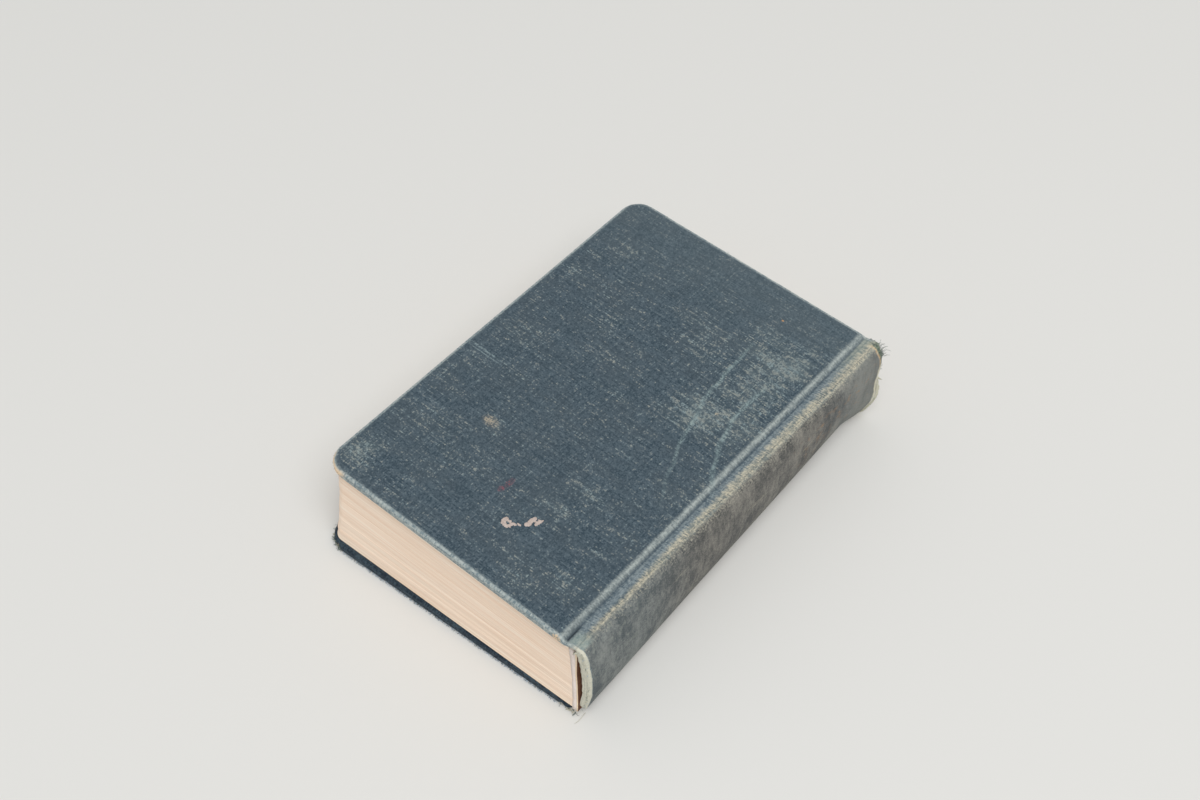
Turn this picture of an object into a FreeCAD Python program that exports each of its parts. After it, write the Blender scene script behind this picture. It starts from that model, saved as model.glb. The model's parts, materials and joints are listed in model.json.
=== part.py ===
import FreeCAD, Part
import math
import os

# An old cloth-bound hardback lying on its back cover. Millimetres and degrees.
# X runs from the fore edge to the spine, Y along the spine from the near end to the far end, Z up.
# Everything is drawn with the outside corner of the back cover at x 0 and the table at z 0,
# and is moved at the end so that the origin is the middle of the book's foot.

Vector = FreeCAD.Vector

# The case: two boards and a spine board, covered with one cloth
cover_height = 180.0        # near end to far end, cloth included
cover_width = 115.7         # fore edge to the crease of the joint
board_thickness = 2.8
board_to_crease = 2.0       # from the board's inner edge to the crease
cover_corner_radius = 8.5
cloth_thickness = 0.4
edge_rounding = 1.0         # of the covered edges
turn_in = 15.0              # cloth folded over onto the inside

# The joint, where the cloth dips between a board and the spine
crease_depth = 2.2
crease_gap = 0.3            # between the cloth of the cover and the cloth of the spine
hinge_lift = 0.2            # the hinge line lies this far outside the cover

# The spine
spine_height = 40.6         # between the outsides of the two covers at the crease
shoulder_from_crease = 5.0
shoulder_drop = 0.5
shoulder_rounding = 0.3     # how far the cloth rounds up between the shoulder and the spine
spine_edge_from_crease = 8.6
spine_edge_drop = 1.7
spine_bulge = 4.0           # at the near end
spine_bulge_far = 2.6       # the far end is pressed flatter
spine_board_thickness = 2.6

# How the front cover lies askew on the worn book
front_turn = -2.06          # seen from above
front_far_end_rise = 0.54
front_fore_edge_rise = 1.88
front_shift_out = 3.13      # towards the spine, at the crease
front_shift_far = 2.22

# Paper
endpaper_thickness = 0.15
endpaper_clearance = 0.2    # between the pasted leaf and the free leaf
pastedown_margin = 2.5
square = 2.2                # how far the covers stand out past the leaves
fore_edge_square = 2.0
block_corner_radius = 5.0
fore_edge_hollow = 1.0
block_skew = 0.95           # the lowest leaves have slid by this angle
back_low = 4.4              # the leaves' back past the crease, at the back cover
back_high = 1.9             # and at the front cover
back_bulge = 1.2
leaf_levels = 5

# What holds the leaves together at the back
glue_line = 0.05
mull_thickness = 0.4
lining_thickness = 1.2
lining_margin = 2.5
mull_foot = 0.7             # where the gauze meets the cloth, past the crease
flyleaf_back_margin = 1.0

# Worked out from the sizes above
half_height = cover_height / 2
board_edge = cover_width - board_to_crease
cover_thickness = board_thickness + 2 * cloth_thickness
pastedown_top = cover_thickness + endpaper_thickness
flyleaf_low = pastedown_top + endpaper_clearance
block_low = flyleaf_low + endpaper_thickness
crease_floor = crease_depth + cloth_thickness
cut_room = 5.0              # how far a cutting shape runs past what it cuts


def front_placement():
    """Where the front cover lies, for a cover drawn with its outside at z 0."""
    turn = FreeCAD.Rotation(Vector(0, 0, 1), front_turn)
    turn = turn * FreeCAD.Rotation(Vector(1, 0, 0), front_far_end_rise)
    turn = turn * FreeCAD.Rotation(Vector(0, 1, 0), front_fore_edge_rise)
    crease = Vector(cover_width + front_shift_out, front_shift_far, spine_height)
    to_crease = FreeCAD.Placement(Vector(-cover_width, 0, 0), FreeCAD.Rotation())
    return FreeCAD.Placement(crease, turn).multiply(to_crease)


def as_front(shape):
    """The same piece of the front cover: mirrored, because its outside faces up, and laid in place."""
    upside_down = shape.mirror(Vector(0, 0, 0), Vector(0, 0, 1))
    upside_down.Placement = front_placement().multiply(upside_down.Placement)
    return upside_down


def line(a, b):
    return Part.LineSegment(a, b).toShape()


def arc(a, middle, b):
    return Part.Arc(a, middle, b).toShape()


def corner_arc(centre, radius, towards, start_x):
    """A quarter circle at the fore edge. towards is -1 at the near end and 1 at the far end."""
    side = Vector(-radius, 0, 0)
    end = Vector(0, towards * radius, 0)
    middle = (side + end).normalize() * radius
    if start_x:
        return arc(centre + side, centre + middle, centre + end)
    return arc(centre + end, centre + middle, centre + side)


def cover_outline(inset, inner_edge, z):
    """A cover's outline, round at the two fore-edge corners."""
    radius = cover_corner_radius - inset
    y = half_height - inset
    near = Vector(inset + radius, radius - y, z)
    far = Vector(inset + radius, y - radius, z)
    return Part.Wire([
        corner_arc(near, radius, -1, True),
        line(Vector(near.x, -y, z), Vector(inner_edge, -y, z)),
        line(Vector(inner_edge, -y, z), Vector(inner_edge, y, z)),
        line(Vector(inner_edge, y, z), Vector(far.x, y, z)),
        corner_arc(far, radius, 1, False),
        line(Vector(inset, far.y, z), Vector(inset, near.y, z)),
    ])


def plate(inset, low, high, rounding=0.0):
    """A plate of a cover's outline, cut off straight at the joint."""
    past_joint = board_edge + cut_room
    solid = Part.Face(cover_outline(inset, past_joint, low)).extrude(Vector(0, 0, high - low))
    if rounding:
        rims = [e for e in solid.Edges if abs(e.BoundBox.ZMax - e.BoundBox.ZMin) < 1e-6]
        rims = [e for e in rims if e.BoundBox.XMin < board_edge]
        solid = solid.makeFillet(rounding, rims)
    joint_side = Part.makeBox(3 * cut_room, 3 * cover_height, high - low + 2 * cut_room,
                              Vector(board_edge, -1.5 * cover_height, low - cut_room))
    return solid.cut(joint_side)


def board():
    return plate(cloth_thickness, cloth_thickness, cloth_thickness + board_thickness,
                 edge_rounding - cloth_thickness)


def window(shrink, low):
    """The inside of a cover that its turned-in cloth leaves bare."""
    edge = turn_in + shrink
    return Part.makeBox(board_edge + cut_room - edge, cover_height - 2 * edge, cut_room,
                        Vector(edge, edge - half_height, low))


def joint_flange():
    """The cover's cloth from the board's edge down into the crease."""
    foot = cover_width - crease_gap / 2
    corners = [(board_edge, 0), (foot, crease_depth), (foot, crease_depth + cloth_thickness),
               (board_edge, cloth_thickness), (board_edge, 0)]
    section = Part.makePolygon([Vector(x, -half_height, z) for x, z in corners])
    return Part.Face(section).extrude(Vector(0, cover_height, 0))


def cover_cloth():
    """The cloth of one cover with its turned-in edges and its half of the joint."""
    skin = plate(0, 0, cover_thickness, edge_rounding).cut(board())
    skin = skin.cut(window(0, cloth_thickness + board_thickness))
    return skin.fuse(joint_flange()).removeSplitter()


def pastedown():
    """The leaf pasted inside a cover. It steps down from the turned-in cloth onto the bare board."""
    inside = cloth_thickness + board_thickness
    sheet = plate(pastedown_margin, inside, pastedown_top)
    turned_in = plate(0, inside, cover_thickness).cut(window(0, inside))
    return sheet.cut(turned_in).cut(window(endpaper_thickness, inside + endpaper_thickness))


def leaf_point(x, y, depth, share):
    """A point of the leaves: share 0 is the back cover's side and 1 the front cover's.
    depth is how far inside the outer face of either cover it would lie."""
    low = Vector(x, y, depth)
    high = front_placement().multVec(Vector(x, y, -depth))
    return low * (1 - share) + high * share


def back_of_leaves(share):
    """How far the leaves' rounded back stands past the crease."""
    straight = back_low * (1 - share) + back_high * share
    return straight + back_bulge * 4 * share * (1 - share)


def leaf_outline(share, depth, back_margin=0.0):
    """The outline of one leaf, with its fore-edge corners rounded."""
    fore = fore_edge_square + fore_edge_hollow * 4 * share * (1 - share)
    back = cover_width + back_of_leaves(share) - back_margin
    end = half_height - square
    slide = math.tan(math.radians(block_skew)) * (1 - share)
    r = block_corner_radius
    mid = r * (1 - math.sqrt(0.5))

    def at(x, y):
        return leaf_point(x, y - slide * (x - fore), depth, share)

    near = (at(fore, r - end), at(fore + mid, mid - end), at(fore + r, -end))
    far = (at(fore + r, end), at(fore + mid, end - mid), at(fore, end - r))
    corners = (at(back, -end), at(back, end))
    return Part.Wire([
        arc(*near),
        line(near[2], corners[0]),
        line(corners[0], corners[1]),
        line(corners[1], far[0]),
        arc(*far),
        line(far[2], near[0]),
    ])


def page_block():
    """All the leaves, sewn and glued: one solid, leaning and twisted with the front cover."""
    levels = [i / (leaf_levels - 1) for i in range(leaf_levels)]
    return Part.makeLoft([leaf_outline(share, block_low) for share in levels], True, False)


def flyleaf(share):
    """The free leaf beside a cover."""
    wires = [leaf_outline(share, depth, flyleaf_back_margin) for depth in (flyleaf_low, block_low)]
    return Part.makeLoft(wires, True, True)


def spine_solid(section, depth, start, stop):
    """Draws a section of the spine out along the book, from start to stop of its length.
    section gives the edges of its outline at a share of the length.
    Its x is measured from the crease and its z from the back cover to the front cover.
    It leans as the front cover does, and keeps to both creases at this depth inside the covers."""
    ends = []
    for along in (start, stop):
        y = (2 * along - 1) * half_height
        foot = leaf_point(cover_width, y, depth, 0)
        rise = (leaf_point(cover_width, y, depth, 1) - foot) / (spine_height - 2 * depth)
        base = foot - rise * depth
        lean = FreeCAD.Matrix(1, 0, rise.x, base.x,
                              0, 1, rise.y, base.y,
                              0, 0, rise.z, base.z,
                              0, 0, 0, 1)
        ends.append(Part.Wire([e.transformGeometry(lean).Edges[0] for e in section(along)]))
    return Part.makeLoft(ends, True, True)


def section_point(x, z):
    return Vector(x, 0, z)


def mirrored(point):
    """The same point of the section at the back cover's side."""
    return section_point(point.x, spine_height - point.z)


def spine_curve(depth, with_joints, along):
    """The spine's outline at a depth under the cloth, from the front cover to the back cover,
    at a share of the book's length."""
    slant = depth * math.sqrt(0.5)
    top = spine_height - spine_edge_drop
    edge = section_point(spine_edge_from_crease - slant, top - slant)
    bulge = spine_bulge * (1 - along) + spine_bulge_far * along
    outermost = section_point(spine_edge_from_crease + bulge - depth, spine_height / 2)
    round_back = arc(edge, outermost, mirrored(edge))
    if not with_joints:
        return [round_back]
    crease = section_point(crease_gap / 2, spine_height - crease_depth - depth)
    shoulder = section_point(shoulder_from_crease, spine_height - shoulder_drop - depth)
    over = (shoulder + edge) / 2 + section_point(shoulder_rounding, shoulder_rounding)
    return [
        line(crease, shoulder),
        arc(shoulder, over, edge),
        round_back,
        arc(mirrored(edge), mirrored(over), mirrored(shoulder)),
        line(mirrored(shoulder), mirrored(crease)),
    ]


def between(outer, inner):
    """Closes two curves of the section, drawn the same way, into one outline."""
    first, last = outer[0].Vertexes[0].Point, outer[-1].Vertexes[-1].Point
    inner_first, inner_last = inner[0].Vertexes[0].Point, inner[-1].Vertexes[-1].Point
    return outer + [line(last, inner_last)] + inner[::-1] + [line(inner_first, first)]


def spine_layer(outside, inside, with_joints=False):
    """The section of a layer between two depths under the cloth, for any share of the length."""
    return lambda along: between(spine_curve(outside, with_joints, along),
                                 spine_curve(inside, with_joints, along))


def spine_board():
    outside = cloth_thickness + glue_line
    inset = cloth_thickness / cover_height
    return spine_solid(spine_layer(outside, outside + spine_board_thickness), crease_floor,
                       inset, 1 - inset)


def spine_bar(start, stop):
    """A bar that takes in the whole section of the spine, from start to stop of its length."""
    across = (0, spine_edge_from_crease + spine_bulge + cut_room)
    up = (-cut_room, spine_height + cut_room)
    corners = [(across[0], up[0]), (across[1], up[0]), (across[1], up[1]), (across[0], up[1])]
    outline = Part.makePolygon([section_point(x, z) for x, z in corners + corners[:1]])
    return spine_solid(lambda along: outline.Edges, crease_floor, start, stop)


def spine_cloth():
    """The cloth of the spine: over the spine board, down into both joints, and turned in at both ends."""
    skin = spine_solid(spine_layer(0, cloth_thickness, True), crease_floor, 0, 1)
    fold_depth = 2 * cloth_thickness + 2 * glue_line + spine_board_thickness
    turned_in = spine_solid(spine_layer(cloth_thickness / 2, fold_depth), crease_floor, 0, 1)
    room = spine_solid(spine_layer(cloth_thickness, fold_depth - cloth_thickness), crease_floor, 0, 1)
    fold = turn_in / cover_height
    end = cloth_thickness / cover_height
    turned_in = turned_in.cut(spine_bar(fold, 1 - fold))
    turned_in = turned_in.cut(room.common(spine_bar(end, 1 - end)))
    return skin.fuse(turned_in)


def back_curve(offset, margin):
    """A curve of the section that follows the leaves' back at a distance."""
    inside = block_low + margin
    share = margin / (spine_height - 2 * block_low)
    top = section_point(back_of_leaves(1 - share) + offset, spine_height - inside)
    foot = section_point(back_of_leaves(share) + offset, inside)
    middle = section_point(back_of_leaves(0.5) + offset, spine_height / 2)
    return [arc(top, middle, foot)]


def mull():
    """The gauze on the leaves' back, with the two flanges that hang the leaves in the case."""
    meets_cloth = crease_floor + glue_line
    sides = []
    for offset in (2 * glue_line + mull_thickness, 2 * glue_line):
        back = back_curve(offset, 0)
        top, foot = back[0].Vertexes[0].Point, back[0].Vertexes[-1].Point
        upper = section_point(mull_foot + offset, spine_height - meets_cloth)
        sides.append([line(upper, top), *back, line(foot, mirrored(upper))])
    inset = square / cover_height
    return spine_solid(lambda along: between(*sides), block_low, inset, 1 - inset)


def spine_lining():
    """Paper and glue built up over the gauze."""
    near_side = 3 * glue_line + mull_thickness
    inset = square / cover_height

    def section(along):
        return between(back_curve(near_side + lining_thickness, lining_margin),
                       back_curve(near_side, lining_margin))

    return spine_solid(section, block_low, inset, 1 - inset)


def build():
    """Every piece by name, in the frame of the back cover's corner."""
    pieces = {
        "back_board": board(),
        "back_cloth": cover_cloth(),
        "back_pastedown": pastedown(),
        "back_flyleaf": flyleaf(0),
        "page_block": page_block(),
        "mull": mull(),
        "spine_lining": spine_lining(),
        "spine_board": spine_board(),
        "spine_cloth": spine_cloth(),
        "front_flyleaf": flyleaf(1),
    }
    for name in ("board", "cloth", "pastedown"):
        pieces["front_" + name] = as_front(pieces["back_" + name])
    return pieces


def to_row_frame(pieces):
    """The move that puts the origin at the middle of the book's foot."""
    box = Part.makeCompound(list(pieces.values())).optimalBoundingBox(False, False)
    return Vector(-box.Center.x, -box.Center.y, -box.ZMin)


def hinge_lines(move):
    """Each cover's hinge: a point and a direction about which it opens by the right-hand rule."""
    place = front_placement()
    front = place.multVec(Vector(cover_width, 0, hinge_lift)) + move
    back = Vector(cover_width, 0, -hinge_lift) + move
    return {
        "front_cover_hinge": (front, place.Rotation.multVec(Vector(0, 1, 0))),
        "back_cover_hinge": (back, Vector(0, -1, 0)),
    }


os.makedirs("parts", exist_ok=True)
book = build()
row_move = to_row_frame(book)
for node, shape in book.items():
    shape.translate(row_move)
    shape.exportStep(os.path.join("parts", node + ".step"))
    print(node, "valid", shape.isValid(), "solids", len(shape.Solids), "volume", round(shape.Volume, 1))
for name, (point, direction) in hinge_lines(row_move).items():
    print(name, [round(v, 4) for v in point], [round(v, 6) for v in direction])
print("move to the row frame", [round(v, 4) for v in row_move])
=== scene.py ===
import json
import math
import random

import bmesh
import bpy
from mathutils import Matrix, Vector, noise
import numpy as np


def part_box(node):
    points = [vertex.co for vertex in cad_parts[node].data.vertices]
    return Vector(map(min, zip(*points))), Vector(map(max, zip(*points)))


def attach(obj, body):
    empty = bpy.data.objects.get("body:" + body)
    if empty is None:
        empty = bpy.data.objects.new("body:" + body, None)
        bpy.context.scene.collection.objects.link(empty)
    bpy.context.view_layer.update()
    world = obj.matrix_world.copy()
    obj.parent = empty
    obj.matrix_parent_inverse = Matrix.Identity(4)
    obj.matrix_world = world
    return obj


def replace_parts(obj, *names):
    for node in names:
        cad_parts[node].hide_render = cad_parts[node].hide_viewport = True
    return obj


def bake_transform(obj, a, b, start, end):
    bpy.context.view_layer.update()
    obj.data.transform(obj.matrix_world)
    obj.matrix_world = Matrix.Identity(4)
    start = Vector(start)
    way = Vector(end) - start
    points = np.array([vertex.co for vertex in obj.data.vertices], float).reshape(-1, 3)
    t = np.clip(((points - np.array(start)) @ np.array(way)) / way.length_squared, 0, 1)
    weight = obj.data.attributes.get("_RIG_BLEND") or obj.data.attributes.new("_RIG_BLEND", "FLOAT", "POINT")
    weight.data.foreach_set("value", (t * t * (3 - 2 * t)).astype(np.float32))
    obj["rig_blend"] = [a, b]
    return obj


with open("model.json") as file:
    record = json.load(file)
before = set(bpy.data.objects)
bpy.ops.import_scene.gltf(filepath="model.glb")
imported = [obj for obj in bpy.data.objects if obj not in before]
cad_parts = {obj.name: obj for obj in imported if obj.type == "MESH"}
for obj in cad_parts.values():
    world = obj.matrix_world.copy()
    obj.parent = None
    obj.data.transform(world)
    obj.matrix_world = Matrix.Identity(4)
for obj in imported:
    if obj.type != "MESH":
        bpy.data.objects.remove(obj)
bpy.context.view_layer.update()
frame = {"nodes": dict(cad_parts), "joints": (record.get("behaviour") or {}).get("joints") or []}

# An old cloth-bound hardback. Every piece is drawn in millimetres in the book's own frame: X from the
# fore edge to the spine, Y along the spine, Z up, with the back cover's outside at z 0.
MM = 0.001
hinges = {joint["name"]: Vector(joint["pos_m"]) for joint in frame["joints"]}
cover_low, cover_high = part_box("back_cloth")

# The case
cover_height = (cover_high.y - cover_low.y) / MM
cover_thickness = (cover_high.z - cover_low.z) / MM
cover_width = (hinges["back_cover_hinge"].x - cover_low.x) / MM     # fore edge to crease
board_edge = cover_width - 2.0
cover_corner_radius = 8.5
edge_rounding = 1.0
turn_in = 15.0
cloth_thickness = 0.35
hinge_lift = 0.2            # the hinge lines lie this far outside the covers
crease_floor = 2.6          # the spine leans between points this deep inside both covers
half_height = cover_height / 2

# How the front cover lies askew
front_turn = -2.06
front_far_end_rise = 0.54
front_fore_edge_rise = 1.88

# The joint's outer surface: distance from the crease, depth, and depth of the cloth folded in under it
joint_line = [(-2.6, 0.0, 3.6), (-2.0, 0.05, 3.6), (-1.3, 0.2, 3.5), (-0.7, 0.5, 3.3), (-0.2, 1.0, 3.1),
              (0.2, 1.25, 3.0), (0.7, 1.0, 2.7), (1.4, 0.8, 2.3), (2.6, 0.62, 1.9), (5.0, 0.5, 1.4)]
shoulder = 5.0
spine_edge = (8.6, 1.7)     # past the crease, and below the cover's outside
spine_edge_slant = math.radians(65)
shoulder_rounding = 0.3
spine_bulge = (3.6, 3.2)    # at the near end and the far end
spine_fold = (4.2, 2.8)     # thickness of the turned-in spine at the front cover and at the back cover
far_flare = 2.8             # how far the lower part of the far end stands out
far_corner_drop = 0.9       # how far the upper corner of the far end is worn down
torn_corner = 3.0           # how far the lower corner of the near end is worn back
worn_reach = 9.0            # how far inside its edge the cloth gives way to that wear

# The leaves
square = 2.2
fore_edge_square = 2.0
fore_edge_hollow = 1.0
leaf_corner_radius = 5.0
block_depth = 4.1           # inside either cover's outer face
block_skew = 0.95
back_low, back_high, back_bulge = 4.9, 0.2, 0.7     # the back past the crease, and how round it is
leaf_layers = 150
gathering_count = 19


def turned_by(degrees, axis):
    return Matrix.Rotation(math.radians(degrees), 4, axis)


def placement():
    """Moves from the book's frame to the row's, and from a flat cover's frame to the front cover's."""
    corner = Vector((cover_low.x, (cover_low.y + cover_high.y) / 2, cover_low.z))
    to_row = Matrix.Translation(corner) @ Matrix.Scale(MM, 4)
    askew = turned_by(front_far_end_rise, "X") @ turned_by(front_fore_edge_rise, "Y")
    turn = turned_by(front_turn, "Z") @ askew
    hinge = to_row.inverted() @ hinges["front_cover_hinge"]
    to_hinge = Matrix.Translation((-cover_width, 0, -hinge_lift))
    return to_row, Matrix.Translation(hinge) @ turn @ to_hinge


to_row, front_place = placement()
spine_height = (front_place @ Vector((cover_width, 0, 0))).z


def smooth(value):
    value = min(1.0, max(0.0, value))
    return value * value * (3 - 2 * value)


def between(table, x, column):
    """Reads a table of points, sorted by their first number."""
    for low, high in zip(table, table[1:]):
        if x <= high[0]:
            share = max(0.0, (x - low[0]) / (high[0] - low[0]))
            return low[column] * (1 - share) + high[column] * share
    return table[-1][column]


def cover_point(x, y, depth, top):
    """A point at a depth inside the outer face of a cover."""
    return front_place @ Vector((x, y, -depth)) if top else Vector((x, y, depth))


def spine_point(x, y, height):
    """A point past the crease, which leans with the spine."""
    low = cover_point(cover_width, y, crease_floor, False)
    high = cover_point(cover_width, y, crease_floor, True)
    rise = (high - low) / (spine_height - 2 * crease_floor)
    return low + rise * (height - crease_floor) + Vector((x, 0, 0))


# The case as one flat cloth: s runs across it from the front cover's fore edge, over the spine, to the
# back cover's fore edge
joint_end = cover_width + shoulder
edge_run = math.hypot(spine_edge[0] - shoulder, spine_edge[1] - 0.5)
spine_chord = spine_height - 2 * spine_edge[1]
spine_run = spine_chord + 1.2
case_width = 2 * (joint_end + edge_run) + spine_run


def spine_outline(run, share):
    """A point of the spine's round back and the way inwards. run goes from 0 at the front cover's edge
    of the spine to 1 at the back cover's, and share along the book from the near end to the far end."""
    bulge = spine_bulge[0] * (1 - share) + spine_bulge[1] * share
    radius = (spine_chord ** 2 / 4 + bulge ** 2) / (2 * bulge)
    half_angle = math.asin(spine_chord / 2 / radius)
    angle = half_angle * (1 - 2 * run)
    x = spine_edge[0] + bulge - radius * (1 - math.cos(angle)) + flare(run, share)
    z = spine_height / 2 + radius * math.sin(angle)
    drop = corner_drop(max(0.0, 1 - run / 0.15), share)
    return x - drop, z - drop, (-math.cos(angle), -math.sin(angle))


def flare(run, share):
    return far_flare * smooth((share - 0.91) / 0.09) * smooth((run - 0.4) / 0.35)


def fold_thickness(run):
    return spine_fold[0] + (spine_fold[1] - spine_fold[0]) * smooth((run - 0.4) / 0.6)


def corner_drop(nearness, share):
    return far_corner_drop * smooth((share - 0.88) / 0.12) * nearness ** 2


def case_section(s, share):
    """The case's outline at s: x past the crease, height, the way inwards, and how deep the turned-in
    cloth lies."""
    front = s < case_width / 2
    x = (s if front else case_width - s) - cover_width
    if x <= shoulder:
        # The joint is almost level at the far end, and a deeper slit at the near end
        filled = 0.55 * smooth((share - 0.955) / 0.04) - 0.6 * smooth((0.065 - share) / 0.03)
        level = 0.5 * smooth((x + 2.6) / 7.6)
        height, inwards = -between(joint_line, x, 1) * (1 - filled) - level * filled, (0, -1)
        fold = between(joint_line, x, 2) + height
    elif x <= shoulder + edge_run:
        t = (x - shoulder) / edge_run
        height = -0.5 * (1 - t) - spine_edge[1] * t + shoulder_rounding * 4 * t * (1 - t)
        slant = spine_edge_slant * smooth(t)
        inwards = (-math.sin(slant), -math.cos(slant))
        fold = 0.9 + (fold_thickness(0.0 if front else 1.0) - 0.9) * smooth(t)
        drop = corner_drop(t, share) if front else 0.0
        x = shoulder + (spine_edge[0] - shoulder) * t - drop + (0.0 if front else flare(1.0, share) * t)
        height -= drop
    else:
        run = (s - joint_end - edge_run) / spine_run
        x, height, inwards = spine_outline(run, share)
        blend = smooth(min(run, 1 - run) * 12)
        slanted = Vector((-math.sin(spine_edge_slant), math.copysign(math.cos(spine_edge_slant), run - 0.5)))
        inwards = slanted.lerp(Vector(inwards), blend).normalized()
        return x, height, inwards, fold_thickness(run)
    if front:
        return x, spine_height + height, inwards, fold
    return x, -height, (inwards[0], -inwards[1]), fold


def case_point(s, y, inside, lift=0.0):
    """A point of the case. inside is 0 on the outer surface and 1 on the turned-in cloth."""
    front = s < case_width / 2
    share = (y + half_height) / cover_height
    x, height, inwards, fold = case_section(s, share)
    depth = inside * fold - lift
    on_spine = spine_point(x + inwards[0] * depth, y, height + inwards[1] * depth)
    if x > shoulder:
        return on_spine
    outer = spine_height - height if front else height
    on_cover = cover_point(cover_width + x, y, outer + depth, front)
    return on_cover.lerp(on_spine, smooth((x + cover_width - board_edge) / (joint_end - board_edge)))


def object_from(bm, name, material, faces_smooth=True):
    """Makes a piece of a mesh drawn in the book's frame."""
    bmesh.ops.transform(bm, matrix=to_row, verts=bm.verts)
    mesh = bpy.data.meshes.new(name)
    bm.to_mesh(mesh)
    bm.free()
    for face in mesh.polygons:
        face.use_smooth = faces_smooth
    mesh.materials.append(material)
    piece = bpy.data.objects.new(name, mesh)
    bpy.context.scene.collection.objects.link(piece)
    return piece


def cut_lines(bm, axis, places):
    """Cuts the whole mesh by planes across an axis."""
    normal = Vector((axis == "x", axis == "y", axis == "z"))
    for place in places:
        geometry = bm.verts[:] + bm.edges[:] + bm.faces[:]
        bmesh.ops.bisect_plane(bm, geom=geometry, dist=1e-5, plane_co=normal * place, plane_no=normal)


def only_verts(made):
    """The vertices among the results of a bmesh operator."""
    return [v for v in made["geom"] if isinstance(v, bmesh.types.BMVert)]


def only_edges(made):
    return [e for e in made["geom"] if isinstance(e, bmesh.types.BMEdge)]


def spaced(start, stop, step):
    count = max(1, round((stop - start) / step))
    return [start + (stop - start) * i / count for i in range(1, count)]


# The cloth of the case

cell = 1.5                  # size of the mesh's cells
fine_cell = 0.6             # their width in the joints


def flat_case():
    """The case unrolled: a plate with round corners, whose underside is the turned-in cloth."""
    bm = bmesh.new()
    corners = [(0, -half_height), (case_width, -half_height), (case_width, half_height), (0, half_height)]
    verts = [bm.verts.new((x, y, 0)) for x, y in corners]
    bm.faces.new(verts)
    bmesh.ops.bevel(bm, geom=verts, offset=cover_corner_radius, offset_type="OFFSET", segments=14,
                    profile=0.5, affect="VERTICES", material=-1)
    made = bmesh.ops.extrude_face_region(bm, geom=bm.faces[:])
    bmesh.ops.translate(bm, vec=(0, 0, -cover_thickness), verts=only_verts(made))
    bmesh.ops.recalc_face_normals(bm, faces=bm.faces)
    rims = [e for e in bm.edges if abs(e.verts[0].co.z - e.verts[1].co.z) < 1e-6]
    bmesh.ops.bevel(bm, geom=rims, offset=edge_rounding, segments=4, profile=0.5, affect="EDGES", material=-1,
                    clamp_overlap=True)
    spine_start = joint_end + edge_run
    joint = [cover_width + row[0] for row in joint_line] + spaced(cover_width + 1.4, joint_end, fine_cell)
    places = spaced(0, board_edge, cell) + [board_edge] + joint + spaced(joint_end, spine_start, fine_cell)
    places += [case_width - place for place in places] + [turn_in, case_width - turn_in]
    places += spaced(spine_start, case_width - spine_start, cell) + [case_width / 2]
    cut_lines(bm, "x", sorted(set(round(place, 4) for place in places)))
    inner = half_height - turn_in
    cut_lines(bm, "y", spaced(-half_height, half_height, cell) + [-inner, inner])
    window = [f for f in bm.faces if f.calc_center_median().z < -cover_thickness + 0.01
              and abs(f.calc_center_median().y) < inner
              and turn_in < f.calc_center_median().x < case_width - turn_in]
    bmesh.ops.delete(bm, geom=window, context="FACES")
    return bm


def nearest_outline(x, y):
    """The nearest point of the flat case's outline, the way outwards there, and how far inside it lies."""
    centre_x = min(max(x, cover_corner_radius), case_width - cover_corner_radius)
    centre_y = min(max(y, cover_corner_radius - half_height), half_height - cover_corner_radius)
    away = Vector((x - centre_x, y - centre_y))
    if away.x and away.y:
        inside = cover_corner_radius - away.length
        outwards = away.normalized()
        return Vector((x, y)) + outwards * inside, outwards, inside
    sides = [(x, (-1, 0)), (case_width - x, (1, 0)), (half_height - y, (0, 1)), (half_height + y, (0, -1))]
    inside, outwards = min(sides)
    return Vector((x, y)) + Vector(outwards) * inside, Vector(outwards), inside


def flat_place(co):
    """Where a point of the case lies on the flat cloth before it was folded over the edges."""
    depth = -co.z
    foot, outwards, inside = nearest_outline(co.x, co.y)
    if depth < edge_rounding and inside > edge_rounding:
        return co.x, co.y
    if depth > cover_thickness - edge_rounding and inside > edge_rounding:
        run = cover_thickness + inside
    else:
        run = depth
    place = foot + outwards * run
    return place.x, place.y


def dents(x, y):
    """How far the old cloth lifts or sinks."""
    slow = noise.noise(Vector((x / 38, y / 46, 2.0)))
    quick = noise.noise(Vector((x / 9, y / 12, 7.0)))
    return 0.16 * slow + 0.05 * quick


def worn_away(x, y):
    """How far the cloth's edge has shrunk inwards at the spine's ends and at the covers' corners."""
    _, outwards, inside = nearest_outline(x, y)
    if inside > worn_reach:
        return Vector((0, 0))
    quick = noise.noise(Vector((x / 0.9, y / 0.9, 13.0)))
    ragged = 0.5 + noise.noise(Vector((x / 2.2, y / 2.2, 11.0))) + 0.5 * quick
    on_spine = smooth((min(x, case_width - x) - joint_end) / 3.0)
    round_corner = abs(outwards.x * outwards.y) > 0.02
    crushed = round_corner and x > case_width / 2 and y < 0
    amount = 0.5 * on_spine + (0.15 if round_corner else 0.06) + (0.25 if crushed else 0.0)
    shrunk = max(0.0, ragged) * amount * smooth(1 - inside / 5.0)
    past_joint = x - case_width + joint_end
    if y < 0:
        torn = torn_corner * smooth((past_joint + 11) / 7) * smooth((3 - past_joint) / 4)
        shrunk += torn * smooth(1 - inside / worn_reach)
    return -outwards * shrunk


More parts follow.
